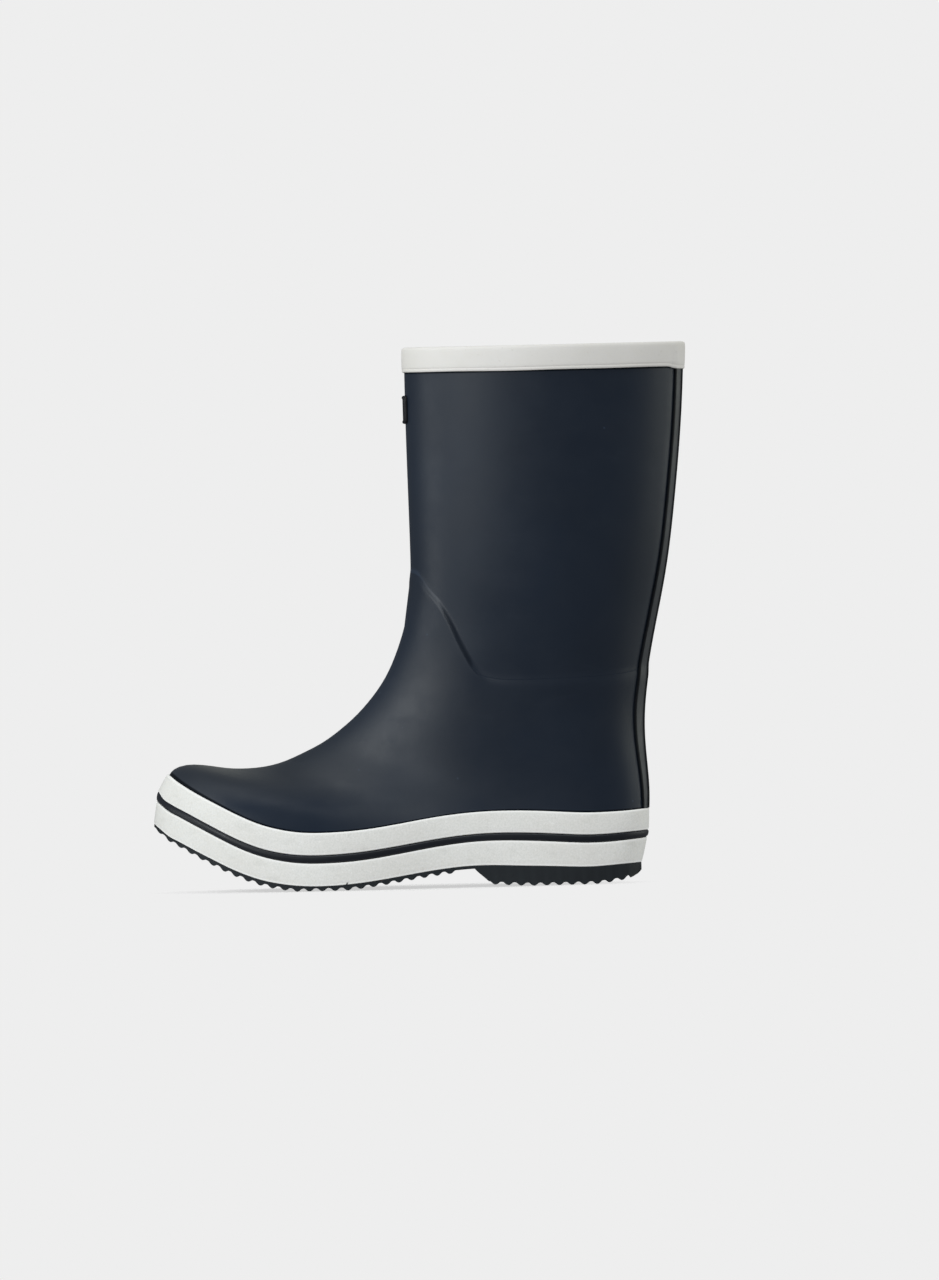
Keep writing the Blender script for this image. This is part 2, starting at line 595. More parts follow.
def rubber(name, dark, light, rough=0.48, coat=0.10, grain=0.35, wave=0.5, dust=0.10,
           shine=0.45, crease=None, seam_shade=0.0, worn_foot=False, specks=0.0, graze=None):
    """Coloured rubber.  crease: distances from a neighbouring piece where shade begins to fade
    and is gone; graze: how edge on the surface turns from bright to dark."""
    mat = Look(name)
    big = mat.noise(scale=14, detail=2)
    mid = mat.noise(scale=70, detail=4, rough=0.6)
    fine = mat.noise(scale=1500, detail=2, rough=0.6)
    scuff = mat.noise(scale=34, detail=6, rough=0.7, stretch=(1.0, 1.0, 3.5))
    colour = mat.mix(mat.ramp(big, over=(0.3, 0.7)), dark, light)
    colour = mat.mix(mat.ramp(mid, over=(0.45, 0.8), to=(0, 0.35)), colour, light)
    # worn edges turn slightly paler, and fine dust settles unevenly
    edge = mat.ramp(mat.geometry("Pointiness"), over=(0.51, 0.60), to=(0, 0.35))
    pale = tuple(min(1, value * 2.4 + 0.015) for value in light[:3]) + (1.0,)
    colour = mat.mix(edge, colour, pale)
    colour = mat.mix(mat.ramp(scuff, over=(0.60, 0.85), to=(0, dust)), colour, pale)
    roughness = mat.plus(mat.ramp(mid, over=(0.3, 0.7), to=(rough - 0.04, rough + 0.05)),
                         mat.ramp(scuff, over=(0.55, 0.85), to=(0, 0.10)))
    swell = mat.noise(scale=26, detail=2, rough=0.4)
    normal = mat.bump(swell, strength=0.5 * wave, distance=0.0006)
    normal = mat.bump(mid, strength=0.25, distance=0.00015, normal=normal)
    normal = mat.bump(fine, strength=grain, distance=0.00004, normal=normal)
    if specks:
        colour = add_specks(mat, colour, pale, specks)
    if crease:
        # UV: distance from the seam or middle, then distance from the neighbouring piece
        across, away, _ = mat.split(mat.coords["UV"])
        border = mat.fall(away, over=crease)
        if seam_shade:
            near = mat.ramp(across, over=(0.0004, 0.0032), to=(seam_shade, 0.0))
            border = mat.math("MAXIMUM", border, near)
        if worn_foot:
            colour, roughness, shine = foot_wear(mat, colour, roughness, shine)
        if graze:
            # seen edge on, the surface mirrors only the dark side of the room
            facing = mat.new("ShaderNodeLayerWeight", Blend=0.5).outputs["Facing"]
            edge_on = mat.ramp(facing, over=graze)
            border = mat.math("MAXIMUM", border, edge_on)
            roughness = mat.plus(roughness, mat.times(edge_on, 0.45))
        colour = mat.mix(mat.times(border, 0.8), colour, srgb(7, 9, 12))
        shine = mat.times(shine, mat.ramp(border, over=(0, 1), to=(1.0, 0.15)))
        coat = mat.ramp(border, over=(0, 1), to=(coat, 0.0))
    return mat.finish(Base_Color=colour, Roughness=roughness, Normal=normal, Coat_Weight=coat,
                      Coat_Roughness=0.38, Specular_IOR_Level=shine)


def trimmed_strip(mat, colour):
    """Colour of the foxing's white strips."""
    # a fine grain of greyer and paler points
    grey = mat.ramp(mat.noise(scale=1000, detail=3, rough=0.7), over=(0.42, 0.62), to=(0, 0.28))
    colour = mat.mix(grey, colour, srgb(198, 200, 194))
    pale = mat.ramp(mat.noise(scale=800, detail=2, rough=0.6), over=(0.40, 0.28), to=(0, 0.5))
    colour = mat.mix(pale, colour, srgb(250, 250, 248))
    # the trimmed edges of a strip are cleaner than its face
    from_edge = mat.split(mat.coords["UV"])[1]
    smear = mat.noise(scale=60, detail=5, rough=0.65, stretch=(1.0, 1.0, 2.5))
    colour = mat.mix(mat.ramp(smear, over=(0.56, 0.74), to=(0, 0.35)), colour,
                     srgb(196, 196, 190))
    colour = mat.mix(mat.ramp(from_edge, over=(0.0006, 0.0015), to=(0.75, 0.0)), colour,
                     srgb(252, 252, 250))
    # the toe picks up most of the dirt
    x, y, z = mat.split(mat.coords["Object"])
    colour = mat.mix(mat.ramp(y, over=(-0.220, -0.165), to=(0.33, 0.0)), colour,
                     srgb(200, 200, 196))
    # one small nick low on the outer side, leaning back as it rises
    nick_y, lean = -0.12355, 0.4
    across = mat.math("ABSOLUTE", mat.plus(y, mat.plus(-nick_y, mat.times(z, -lean))))
    nick = mat.times(mat.fall(across, over=(0.0003, 0.0007)),
                     mat.fall(z, over=(0.0038, 0.0052)), mat.ramp(x, over=(0.02, 0.03)))
    return mat.mix(nick, colour, srgb(20, 22, 24))


def white_rubber(name, dark, light, trimmed=False):
    mat = Look(name)
    big = mat.noise(scale=18, detail=2)
    mid = mat.noise(scale=110, detail=4, rough=0.6)
    fine = mat.noise(scale=1300, detail=3, rough=0.65)
    colour = mat.mix(mat.ramp(big, over=(0.3, 0.7)), dark, light)
    colour = mat.mix(mat.ramp(mid, over=(0.5, 0.8), to=(0, 0.25)), colour, srgb(214, 212, 204))
    speck = mat.ramp(mat.noise(scale=420, detail=2), over=(0.66, 0.74), to=(0, 0.18))
    colour = mat.mix(speck, colour, srgb(178, 176, 168))
    if trimmed:
        colour = trimmed_strip(mat, colour)
    else:
        hollow = mat.ramp(mat.geometry("Pointiness"), over=(0.42, 0.49), to=(0.3, 0))
        colour = mat.mix(hollow, colour, srgb(150, 150, 148))
    normal = mat.bump(mid, strength=0.3, distance=0.00015)
    normal = mat.bump(fine, strength=0.45, distance=0.00006, normal=normal)
    return mat.finish(Base_Color=colour, Normal=normal, Specular_IOR_Level=0.3,
                      Roughness=mat.ramp(mid, over=(0.3, 0.7), to=(0.58, 0.70)),
                      Subsurface_Weight=0.04, Subsurface_Radius=(0.002, 0.0018, 0.0015),
                      Subsurface_Scale=1.0)


def knit(name, dark, light, gauge=0.0016, depth=0.00035):
    """Jersey knit: rows of small V stitches, laid out by the piece's UV; gauge is their width."""
    mat = Look(name)
    across, down, _ = mat.split(mat.coords["UV"])

    def rib():
        wave = mat.math("SINE", mat.times(across, math.pi / gauge))
        return mat.math("ABSOLUTE", wave)

    lean = mat.times(rib(), gauge * 0.9)
    rows = mat.math("SINE", mat.times(mat.plus(down, lean), 2 * math.pi / (gauge * 0.8)))
    height = mat.plus(mat.times(rib(), 0.65), mat.times(mat.plus(rows, 1.0), 0.22))
    fuzz = mat.noise(scale=2600, detail=2, rough=0.7)
    height = mat.plus(height, mat.times(fuzz, 0.25))
    tone = mat.mix(mat.ramp(height, over=(0.2, 1.1)), dark, light)
    cloud = mat.ramp(mat.noise(scale=40, detail=4), over=(0.4, 0.75), to=(0, 0.3))
    tone = mat.mix(cloud, tone, dark)
    return mat.finish(Base_Color=tone, Roughness=0.92, Sheen_Weight=0.25, Sheen_Roughness=0.5,
                      Normal=mat.bump(height, strength=0.8, distance=depth),
                      Specular_IOR_Level=0.2)


def foam():
    mat = Look("insole_foam")
    cells = mat.new("ShaderNodeTexVoronoi", Vector=mat.coords["Object"], Scale=1400)
    cells = cells.outputs["Distance"]
    colour = mat.mix(mat.ramp(cells, over=(0.0, 0.7)), srgb(96, 102, 108), srgb(134, 140, 146))
    return mat.finish(Base_Color=colour, Roughness=0.95, Specular_IOR_Level=0.2,
                      Normal=mat.bump(cells, strength=0.6, distance=0.0003))


def sheet(name, dark, light, scale, rough=0.9, metal=0.0, stretch=None):
    """Plain mottled sheet stock."""
    mat = Look(name)
    mottle = mat.noise(scale=scale, detail=5, rough=0.65, stretch=stretch)
    return mat.finish(Base_Color=mat.mix(mat.ramp(mottle, over=(0.3, 0.7)), dark, light),
                      Roughness=mat.ramp(mottle, over=(0.3, 0.7), to=(rough - 0.06, rough)),
                      Metallic=metal, Normal=mat.bump(mottle, strength=0.4, distance=0.0002))


navy = rubber("rubber_navy", srgb(8, 24, 41), srgb(13, 29, 47), crease=(0.0007, 0.0014),
              seam_shade=0.5, worn_foot=True, specks=0.5)
strip_navy = rubber("rubber_navy_strip", srgb(18, 27, 38), srgb(24, 33, 44), shine=0.66,
                    crease=(0.0013, 0.0021), graze=(0.66, 0.77))
sole_rubber = rubber("rubber_sole", srgb(16, 20, 24), srgb(23, 28, 32), rough=0.6, coat=0.0,
                     grain=0.6, wave=0.3, dust=0.15, shine=0.25)
stripe_rubber = rubber("rubber_stripe", srgb(13, 17, 25), srgb(20, 24, 33), rough=0.45,
                       coat=0.05, grain=0.4, wave=0.2, shine=0.38)
badge_rubber = rubber("rubber_badge", srgb(10, 11, 15), srgb(16, 18, 22), rough=0.5, coat=0.0,
                      grain=0.5, wave=0.1, shine=0.3)
white = white_rubber("rubber_white", srgb(215, 213, 208), srgb(223, 221, 218))
white_strip = white_rubber("rubber_white_foxing", srgb(228, 227, 223), srgb(236, 236, 233),
                           trimmed=True)
lining_knit = knit("knit_lining", srgb(104, 110, 118), srgb(164, 170, 176))
insole_knit = knit("insole_knit", srgb(112, 120, 130), srgb(172, 178, 186),
                   gauge=0.0022, depth=0.0004)
insole_foam = foam()

# CAD pieces that keep their shape and only take a material
for node, material in {
    "midsole": sheet("sponge_rubber", srgb(104, 100, 92), srgb(124, 119, 110), scale=500),
    "heel_wedge": sheet("sponge_wedge", srgb(98, 94, 88), srgb(118, 113, 104), scale=500),
    "bottom_filler": sheet("cork_sheet", srgb(128, 98, 62), srgb(172, 138, 94), scale=260),
    "insole_board": sheet("fibreboard", srgb(150, 124, 88), srgb(182, 156, 118), scale=380),
    "shank": sheet("spring_steel", srgb(130, 134, 138), srgb(160, 163, 167), scale=300,
                   rough=0.4, metal=1.0, stretch=(1, 0.05, 1)),
}.items():
    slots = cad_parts[node].data.materials
    slots.clear()
    slots.append(material)


# ================================================================ panels of the upper
def panel(node, steps, border, **kw):
    """A navy panel from steps of (row, distance from the last).

    UV: distance below the seam, pushed away where the seam is nearly flat, then
    distance from the white piece beside it.
    """
    uv = [np.column_stack([np.abs(BELOW_SEAM[row] + 0.4) + 9 * (1 - CREASE), border(row)])
          for row, _ in steps]
    ring(node, [off_last(*pair) for pair in steps], uv=uv,
         material=navy, slot="rubber_navy", **kw)


def shaft_panel():
    shaft = range(SEAM_ROW)
    first, second, third = range(SEAM_ROW, SEAM_ROW + 3)
    steps = [(0, -0.5)] + [(row, step_up(row)) for row in shaft]
    # the lower edge runs on under the foot panel's edge
    steps += [(first, step_up(first) - 0.02), (second, step_up(second) - 0.16), (third, -0.3)]
    steps += [(SEAM_ROW + k, -0.9) for k in (3, 4, 5)]
    steps += [(SEAM_ROW + k, -1.8) for k in (5, 3, 1)]
    steps += [(row, -1.8) for row in reversed(shaft[::3])]
    panel("shaft_panel", steps, lambda row: BAND_Z - DIP - GRID[row, :, 2] - 0.1)


def foot_panel():
    """The lapped edge is feathered onto the shaft panel."""
    edge = step_up(SEAM_ROW)
    steps = [(SEAM_ROW, edge + 0.01), (SEAM_ROW, edge + 0.07)]
    steps += [(row, step_up(row) + 0.02) for row in range(SEAM_ROW + 1, FOX_ROW)]
    steps += [(row, FOOT_PROUD) for row in range(FOX_ROW, LAST_ROW + 1)]
    steps += [(row, -1.2) for row in (LAST_ROW, *range(FEATHER_ROW + 1, FOX_ROW, -1),
                                      *range(FOX_ROW, SEAM_ROW + 8, -3))]
    steps += [(SEAM_ROW + 6, -0.6), (SEAM_ROW + 3, -0.5), (SEAM_ROW + 2, -0.2)]
    steps += [(SEAM_ROW + 1, step_up(SEAM_ROW + 1) - 0.10)]
    panel("foot_panel", steps, lambda row: DOWN_ARC[FOX_ROW] - DOWN_ARC[row], sharp=55)


shaft_panel()
foot_panel()


# ================================================================ linings and stiffeners
def crumple(row):
    """Inward depth of the knit's soft folds across the front of the ankle."""
    x, y, z = GRID[row].T
    ankle = smooth(70, 92, z) * smooth(168, 140, z) * smooth(0.42, 0.22, COLUMN_SHARE)
    fold = 0.5 + 0.5 * np.sin(0.36 * z + 0.16 * y + 1.3 * np.sin(0.075 * x + 0.8))
    return 0.55 * ankle * fold + 0.10 * ankle * np.sin(0.9 * z + 0.31 * x) ** 2


ROW_SHARES = [mm / 62 for mm in FOOT_MM] + FOOT_SHARES


def row_share(row):
    """Share of the way from the seam (0) to the foxing's top line (1)."""
    return ROW_SHARES[min(row, FOX_ROW) - SEAM_ROW]


def foot_lining_out(row):
    """Distance of the foot lining's outer face: further in where a stiffener lies behind it."""
    if row <= SEAM_ROW + 6:
        return -3.2 - crumple(row)
    share = row_share(row)
    top = 1 - smooth(0.10, 0.20, share)
    toe = smooth(0.56, 0.64, share) * (1 - smooth(0.26, 0.31, COLUMN_SHARE))
    heel = smooth(0.45, 0.53, share) * smooth(0.69, 0.74, COLUMN_SHARE)
    return -1.5 - 1.7 * np.maximum(top, np.maximum(toe, heel)) - crumple(row)


def lining(node, rows, out):
    there_and_back = [(row, 0) for row in rows] + [(row, LINING) for row in reversed(rows)]
    profile = [off_last(row, out(row) - inward) for row, inward in there_and_back]
    uv = [np.column_stack([FRONT_ARC[row], DOWN_ARC[row]]) for row, _ in there_and_back]
    ring(node, profile, uv=uv, material=lining_knit, slot="knit_lining")


lining("leg_lining", [*range(0, SEAM_ROW, 2), SEAM_ROW + 2, SEAM_ROW + 5],
       lambda row: -2.1 - crumple(row))
lining("foot_lining", [*range(SEAM_ROW - 4, FOX_ROW, 2), *range(FOX_ROW, LAST_ROW + 1)],
       foot_lining_out)

stiffener_sheet = sheet("stiffener", srgb(52, 52, 50), srgb(70, 70, 66), scale=700)


def stiffener(node, centre, top_share):
    """A curved stiffener between the panel and the lining, thinned at its edges."""
    wide = int(0.235 * HALF)
    middle, thin_half, added_half = -2.15, 0.25, 0.4
    rows = [row for row in range(SEAM_ROW, FEATHER_ROW - 2)
            if row > FOX_ROW or row_share(row) >= top_share]
    columns = np.arange(centre - wide, centre + wide + 1)
    from_edge = [np.minimum(np.arange(count), np.arange(count)[::-1]) / 3.0
                 for count in (len(rows), len(columns))]
    full = np.minimum(np.minimum.outer(*from_edge), 1.0)
    half = (thin_half + added_half * smooth(0, 1, full))[..., None]
    pick = np.ix_(rows, columns % ROUND)
    points, normals = GRID[pick], NORMAL[pick]
    patch(node, points + normals * (middle + half), points + normals * (middle - half),
          material=stiffener_sheet, slot="stiffener", sharp=60)


stiffener("toe_puff", centre=0, top_share=0.65)
stiffener("heel_counter", centre=HALF, top_share=0.54)

# ================================================================ back strip
# distance from the back line at the nominal width, height above the panel
STRIP_PROFILE = [
    (STRIP_HALF, 0.35), (16.45, 0.6), (16.3, 0.85), (15.9, 1.05), (15.2, 1.15), (14.0, 1.25),
    (12.0, 1.45), (9, 1.65), (6, 1.72), (3, 1.75), (0, 1.75)]
# half width of the strip at heights up the boot
STRIP_Z = [71, 106, 130, 152, 199]
STRIP_WIDTH = [19.0, 18.6, 17.0, 15.5, 14.8]


def back_strip():
    """A moulded strip, wider at the heel, whose edges roll down to the panel."""
    across = [(-s, height) for s, height in STRIP_PROFILE] + STRIP_PROFILE[-2::-1]
    outside, inside, uv = [], [], []
    for row in range(FOX_ROW + 1):
        # the strip climbs smoothly over the foot panel's edge
        drop = BELOW_SEAM[row, HALF]
        lift = FOOT_PROUD * float(smooth(-3.5, 6.0, drop))
        under = FOOT_PROUD * float(smooth(-4.5, 1.0, drop)) + 0.3
        rise = [0, 0, 0.45 if row == FOX_ROW else 0.0]
        half = float(np.interp(GRID[row, HALF, 2], STRIP_Z, STRIP_WIDTH))
        widths = [s * half / STRIP_HALF for s, _ in across]
        columns = [np.interp(-width, -BACK_ARC[row], COLUMNS) for width in widths]
        outside.append([spot(row, column, height + lift) + rise
                        for column, (_, height) in zip(columns, across)])
        inside.append([spot(row, column, under) + rise for column in columns])
        uv.append([(max(0.0, abs(width) - 5.2), half - abs(width)) for width in widths])
    patch("back_strip", outside, inside, uv=uv, material=strip_navy, slot="rubber_navy",
          sharp=60)


back_strip()

# ================================================================ front badge
BADGE_HALF_WIDTH = 9.4
BADGE_HALF_HEIGHT = (BADGE_TOP - BADGE_BOTTOM) / 2
BADGE_CORNER = 2.5
# inset from the edge, height above the last
BADGE_PROFILE = [(0.0, 0.5), (0.08, 1.0), (0.3, 1.45), (0.7, 1.75), (1.3, 1.8), (1.7, 1.7),
                 (2.0, 1.4)]


def across_front(z, x, distance):
    """Point at height z and length x along the row from the front line (outer side positive)."""
    row = 0
    while row < len(SHAFT_SECTIONS) - 2 and GRID[row + 1, 0, 2] > z:
        row += 1
    ends = []
    for near in (row, row + 1):
        lengths = np.concatenate([FRONT_ARC[near] - TOTAL_ARC[near], FRONT_ARC[near]])
        ends.append(spot(near, np.interp(x, lengths, np.arange(-ROUND, ROUND)), distance))
    share = (GRID[row, 0, 2] - z) / (GRID[row, 0, 2] - GRID[row + 1, 0, 2])
    return ends[0] * (1 - share) + ends[1] * share


def front_badge():
    """A thin moulded patch with a raised rim and rounded corners."""
    insets, heights = zip(*BADGE_PROFILE)
    flat_x, flat_z = BADGE_HALF_WIDTH - BADGE_CORNER, BADGE_HALF_HEIGHT - BADGE_CORNER

    def stations(half, middle):
        return sorted([inset - half for inset in insets] + [half - inset for inset in insets]
                      + middle)

    outside, inside = [], []
    for z in reversed(stations(BADGE_HALF_HEIGHT, [-4, -1.5, 1.5, 4])):
        outer_row, inner_row = [], []
        for x in stations(BADGE_HALF_WIDTH, [-5, -2.5, 0, 2.5, 5]):
            edge = min(BADGE_HALF_WIDTH - abs(x), BADGE_HALF_HEIGHT - abs(z))
            past_x, past_z = max(abs(x) - flat_x, 0), max(abs(z) - flat_z, 0)
            place_x, place_z = x, z
            if past_x > 0 and past_z > 0:
                # square rings in the corner are drawn in to round ones
                reach = max(past_x, past_z)
                shrink = reach / math.hypot(past_x, past_z)
                place_x = math.copysign(flat_x + past_x * shrink, x)
                place_z = math.copysign(flat_z + past_z * shrink, z)
                edge = BADGE_CORNER - reach
            place = (BADGE_BOTTOM + BADGE_HALF_HEIGHT + place_z, place_x)
            outer_row.append(across_front(*place, float(np.interp(edge, insets, heights))))
            inner_row.append(across_front(*place, 0.3))
        outside.append(outer_row)
        inside.append(inner_row)
    patch("front_badge", outside, inside, material=badge_rubber, slot="rubber_badge", sharp=50)


front_badge()

# ================================================================ binding over the rim
UNDER_BAND = 0.32           # distance of the binding's hidden face from the last
# height above BAND_Z, distance from the outer face: the lower edge with a pressed line above it
BAND_EDGE = [(0.25, UNDER_BAND - BAND_PROUD), (0.02, -0.75), (0.1, -0.38), (0.4, -0.12),
             (0.9, 0), (1.5, 0.02), (1.85, -0.2), (2.2, 0)]
BAND_FACE = [3.0, 4.4, 6.4, 8.4, 10.4]          # heights above BAND_Z on the outer face
# depth below RIM_Z, distance from the outer face
RIM_OUTER = [(2.2, 0), (1.3, -0.1), (0.65, -0.42), (0.22, -0.95), (0, -1.7)]
# depth below RIM_Z, distance from the last
RIM_INNER = [(0, -2.9), (0.22, -3.6), (0.65, -4.15), (1.3, -4.48), (2.4, -4.6)]
# height above BAND_Z, distance from the last
BAND_INNER = [(9, -4.6), (5.5, -4.6), (3, -4.6), (1.6, -4.5), (1.1, -4.2), (1.0, -3.7),
              (1.2, -3.2)]


def band_row(z, distance):
    """Row at height z (less the rim's dip), carried on the straight line between two rows."""
    low, high = off_last(BAND_ROW, distance), off_last(0, distance)
    z = z - DIP
    row = low + ((z - low[:, 2]) / (high[:, 2] - low[:, 2]))[:, None] * (high - low)
    row[:, 2] = z
    return row


def top_binding():
    from_back = np.abs(BACK_ARC[0])
    over_strip = smooth(STRIP_HALF + 3.2, STRIP_HALF + 0.2, from_back) * STRIP_PROUD
    out = BAND_PROUD + over_strip
    # the lower edge sits lower over the back strip and wanders a little all round
    turn = COLUMNS / ROUND * 2 * math.pi
    edge = BAND_Z - 0.35 - 1.2 * smooth(STRIP_HALF + 6.0, STRIP_HALF - 1.0, from_back)
    edge = edge + 0.12 * np.sin(turn * 3 + 0.7) + 0.08 * np.sin(turn * 7 + 2.1)
    profile = [band_row(edge + up, out + add) for up, add in BAND_EDGE]
    for up in BAND_FACE:
        bulge = 0.10 * math.sin(up / (RIM_Z - BAND_Z) * math.pi)
        profile.append(band_row(BAND_Z + up, out + bulge))
    profile += [band_row(RIM_Z - down, out + add) for down, add in RIM_OUTER]
    profile += [band_row(RIM_Z - down, distance) for down, distance in RIM_INNER]
    profile += [band_row(BAND_Z + up, distance) for up, distance in BAND_INNER]
    profile += [band_row(RIM_Z - 1.7, -3.2), band_row(RIM_Z - 1.6, -1.0),
                band_row(RIM_Z - 1.6, over_strip + UNDER_BAND)]
    ring("top_binding", profile, material=white, slot="rubber_white", sharp=60)


top_binding()

# ================================================================ the sole wall
LEVEL_OUT = [FOXING_PROUD + side + toe * AT_TOE + heel * AT_HEEL for side, toe, heel in WALL_OUT]
JOINT = 0.12                # half the gap between neighbouring strips
# share of the rounding's length from the strip's edge, share of its inset
ROUNDING = [(0.0, 1), (0.12, 0.62), (0.35, 0.28), (0.7, 0.08), (1.15, 0.0)]


def wall(distance, level, lift=0.0):
    plan = fox[:, :2] + OUTWARD * distance[:, None]
    return np.column_stack([plan, LEVEL[level](plan[:, 1]) + lift])


def wall_strip(node, top, gap_above, gap_below, crown, rounding, material, slot):
    """The strip between level lines top and top + 1, with rounded edges and a slight crown."""
    low = top + 1
    height = float(np.mean(LEVEL[top](fox[:, 1]) - LEVEL[low](fox[:, 1])))
    height -= gap_above + gap_below
    edge = [(along * rounding / height, inset * rounding) for along, inset in ROUNDING]
    steps = edge + [(share, 0.0) for share in (0.25, 0.4, 0.5, 0.6, 0.75)]
    steps += [(1 - share, inset) for share, inset in reversed(edge)]
    upper = wall(LEVEL_OUT[top], top, -gap_above)
    lower = wall(LEVEL_OUT[low], low, gap_below)
    profile, uv = [], []
    for share, inset in steps:
        push = crown * math.sin(math.pi * share) - inset
        row = upper + (lower - upper) * share
        row[:, :2] += OUTWARD * push
        profile.append(row)
        uv.append([(0.0, min(share, 1 - share) * height)] * ROUND)
    for level, lift in ((low, gap_below), (top, -gap_above)):
        behind = np.minimum(FOOT_PROUD + 0.35, LEVEL_OUT[level] - 0.9)
        profile.append(wall(behind, level, lift))
        uv.append([(0.0, 0.0)] * ROUND)
    ring(node, profile, uv=uv, material=material, slot=slot, sharp=60)


wall_strip("foxing_upper", top=0, gap_above=0.0, gap_below=JOINT, crown=0.18, rounding=0.7,
           material=white_strip, slot="rubber_white")
wall_strip("foxing_stripe", top=1, gap_above=JOINT, gap_below=JOINT, crown=0.35, rounding=0.8,
           material=stripe_rubber, slot="rubber_stripe")
wall_strip("foxing_lower", top=2, gap_above=JOINT, gap_below=0.0, crown=0.15, rounding=0.5,
           material=white_strip, slot="rubber_white")

# ================================================================ outsole
# places of the ribs' tips along y
FRONT_RIBS = [
    -230.2, -224.2, -218.1, -211.9, -205.6, -199.2, -192.6, -186.0, -179.2, -172.1, -165.0,
    -157.8, -150.6, -143.6, -136.2, -128.9, -121.4, -113.9, -106.6, -99.2, -91.9, -84.6, -77.3,
    -70.0, -62.7]
HEEL_RIBS = [-36.8, -29.4, -22.0, -14.6, -7.3, 0, 7.3, 14.6, 21.9, 29.2, 36.4]
# distance from the tip in rib pitches, share of the rib's depth: a rounded triangle
RIB_PROFILE = [(0, 0), (0.06, 0.015), (0.12, 0.10), (0.2, 0.32), (0.36, 0.90), (0.43, 0.985),
               (0.5, 1.0)]
# thickness of the front sole, and height of the heel's tips, at stations along y
THICK_Y, THICK = [-236, -225, -216, -205, -195, -60], [2.3, 2.5, 2.9, 3.2, 3.3, 3.3]
HEEL_Y = [-40, -36.8, -29.4, -22, -14.6, 14.6, 22, 29.2, 36.4, 42, 46, 49]
HEEL_Z = [1.5, 1.2, 0.7, 0.3, 0, 0, 0.1, 0.9, 1.9, 3.4, 5.6, 8.5]
ARCH_THICK = 1.7
SOLE_LINE = wall(LEVEL_OUT[3], 3)
SOLE_LO, SOLE_HI = SOLE_LINE[:, 1].min(), SOLE_LINE[:, 1].max()
sole_top = LEVEL[3]


def tip_z(y):
    if y < -50:
        return max(0.0, float(sole_top(y) - np.interp(y, THICK_Y, THICK)))
    return float(np.interp(y, HEEL_Y, HEEL_Z))


def crossings(loop, y):
    """Least and greatest x where a closed loop crosses the line at y."""
    start, end = loop, np.roll(loop, -1, 0)
    cut = (start[:, 1] <= y) != (end[:, 1] <= y)
    start, end = start[cut], end[cut]
    share = (y - start[:, 1]) / (end[:, 1] - start[:, 1])
    x = start[:, 0] + share * (end[:, 0] - start[:, 0])
    return x.min(), x.max()


def points_across(x, y, z):
    return np.column_stack(np.broadcast_arrays(x, y, z))


def rib_rows(centres, low, high):
    """Rows (y, bottom z) over a run of ribs, kept between two limits."""
    rows = []
    for n, centre in enumerate(centres):
        is_last = n + 1 == len(centres)
        before = centre - centres[n - 1] if n else centres[1] - centres[0]
        after = before if is_last else centres[n + 1] - centre
        steps = [(-u, depth) for u, depth in reversed(RIB_PROFILE)] + RIB_PROFILE[1:-1]
        if is_last:
            steps.append(RIB_PROFILE[-1])
        for u, depth in steps:
            y = centre + u * (after if u > 0 else before)
            if low < y < high:
                # the ribs are shallower under the toe
                rows.append((y, tip_z(y) + TOOTH * (0.8 if y < -200 else 1.0) * depth))
    return rows


def outsole():
    rows = [(y, sole_top(y) - 1.5) for y in (SOLE_LO + 0.25, SOLE_LO + 0.8, SOLE_LO + 1.6)]
    rows += rib_rows(FRONT_RIBS, SOLE_LO + 2.2, 0)
    rows += [(y, sole_top(y) - ARCH_THICK) for y in (-58.3, -56, -52, -49.3, -48.6)]
    # the slope from the arch down to the heel
    for y in (-46.5, -44, -42):
        share = (y + 49.0) / (-40.5 + 49.0)
        rows.append((y, (sole_top(y) - ARCH_THICK) * (1 - share) + (1.5 + TOOTH) * share))
    rows += rib_rows(HEEL_RIBS, -41.0, 60)
    rows += [(y, tip_z(y)) for y in (41.0, 42.5, 44.0, 45.5, 46.8, 47.6)]
    rows = [(y, z) for y, z in rows if y < SOLE_HI - 0.5]
    rows.append((SOLE_HI - 0.35, tip_z(SOLE_HI - 0.35)))
    even = np.linspace(0, 1, 25)
    # finer near the edges
    shares = 0.35 * (0.5 - 0.5 * np.cos(even * math.pi)) + 0.65 * even
    top, bottom = [], []
    for y, z in rows:
        start, end = crossings(SOLE_LINE, y)
        x = start + shares * (end - start)
        top.append(points_across(x, y, sole_top(y) - 0.12))
        bottom.append(points_across(x, y, min(z, sole_top(y) - 0.6)))
    patch("outsole", top, bottom, material=sole_rubber, slot="rubber_sole", sharp=48)


outsole()


